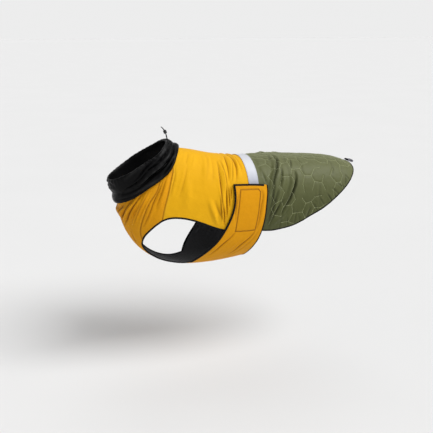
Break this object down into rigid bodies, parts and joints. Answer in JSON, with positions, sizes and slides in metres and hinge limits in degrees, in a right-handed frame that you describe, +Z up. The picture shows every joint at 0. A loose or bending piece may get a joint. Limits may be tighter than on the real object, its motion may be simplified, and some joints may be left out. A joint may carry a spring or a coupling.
{
  "type": "dog coat",
  "caption": "Worn dog coat: shell yoke and chest, quilted rump panel, rolled snood collar with drawcord, bound armholes and a belly band whose wings wrap up over the sides.",
  "frame": {"origin": "on the inner face of the cloth in the middle of the back, at the girth seam between yoke and rump panel, where the coat lies on the wearer's back", "axes": "+X along the back towards the tail, so the wearer looks along -X; +Y to the wearer's right; +Z up, away from the wearer's back"},
  "size_m": [0.6591, 0.2262, 0.3531],
  "materials": {
    "yellow_shell": "matt woven shell cloth",
    "olive_quilt": "matt quilted shell cloth",
    "black_soft_shell": "matt soft shell",
    "black_binding": "matt woven tape",
    "silver_tape": "retroreflective silver",
    "hook_and_loop": "rough pile",
    "elastic_cord": "braided",
    "stopper_plastic": "fine matt",
    "grey_tape": "ribbed tape"
  },
  "bodies": {
    "root": {"yoke": "yellow_shell", "chest_side_left": "yellow_shell", "chest_side_right": "yellow_shell", "chest_bib": "yellow_shell", "belly_band": "yellow_shell", "rump_panel": "olive_quilt", "snood": "black_soft_shell", "armhole_binding_left": "black_binding", "armhole_binding_right": "black_binding", "wing_front_binding_left": "black_binding", "wing_front_binding_right": "black_binding", "wing_top_binding_left": "black_binding", "wing_top_binding_right": "black_binding", "band_rear_binding": "black_binding", "hem_binding": "black_binding", "reflective_tape": "silver_tape", "closure_patch_left": "hook_and_loop", "closure_patch_right": "hook_and_loop", "drawcord": "elastic_cord", "cord_stopper": "stopper_plastic", "tail_tab": "grey_tape", "tail_tab_tack": "black_binding"}
  },
  "joints": []
}
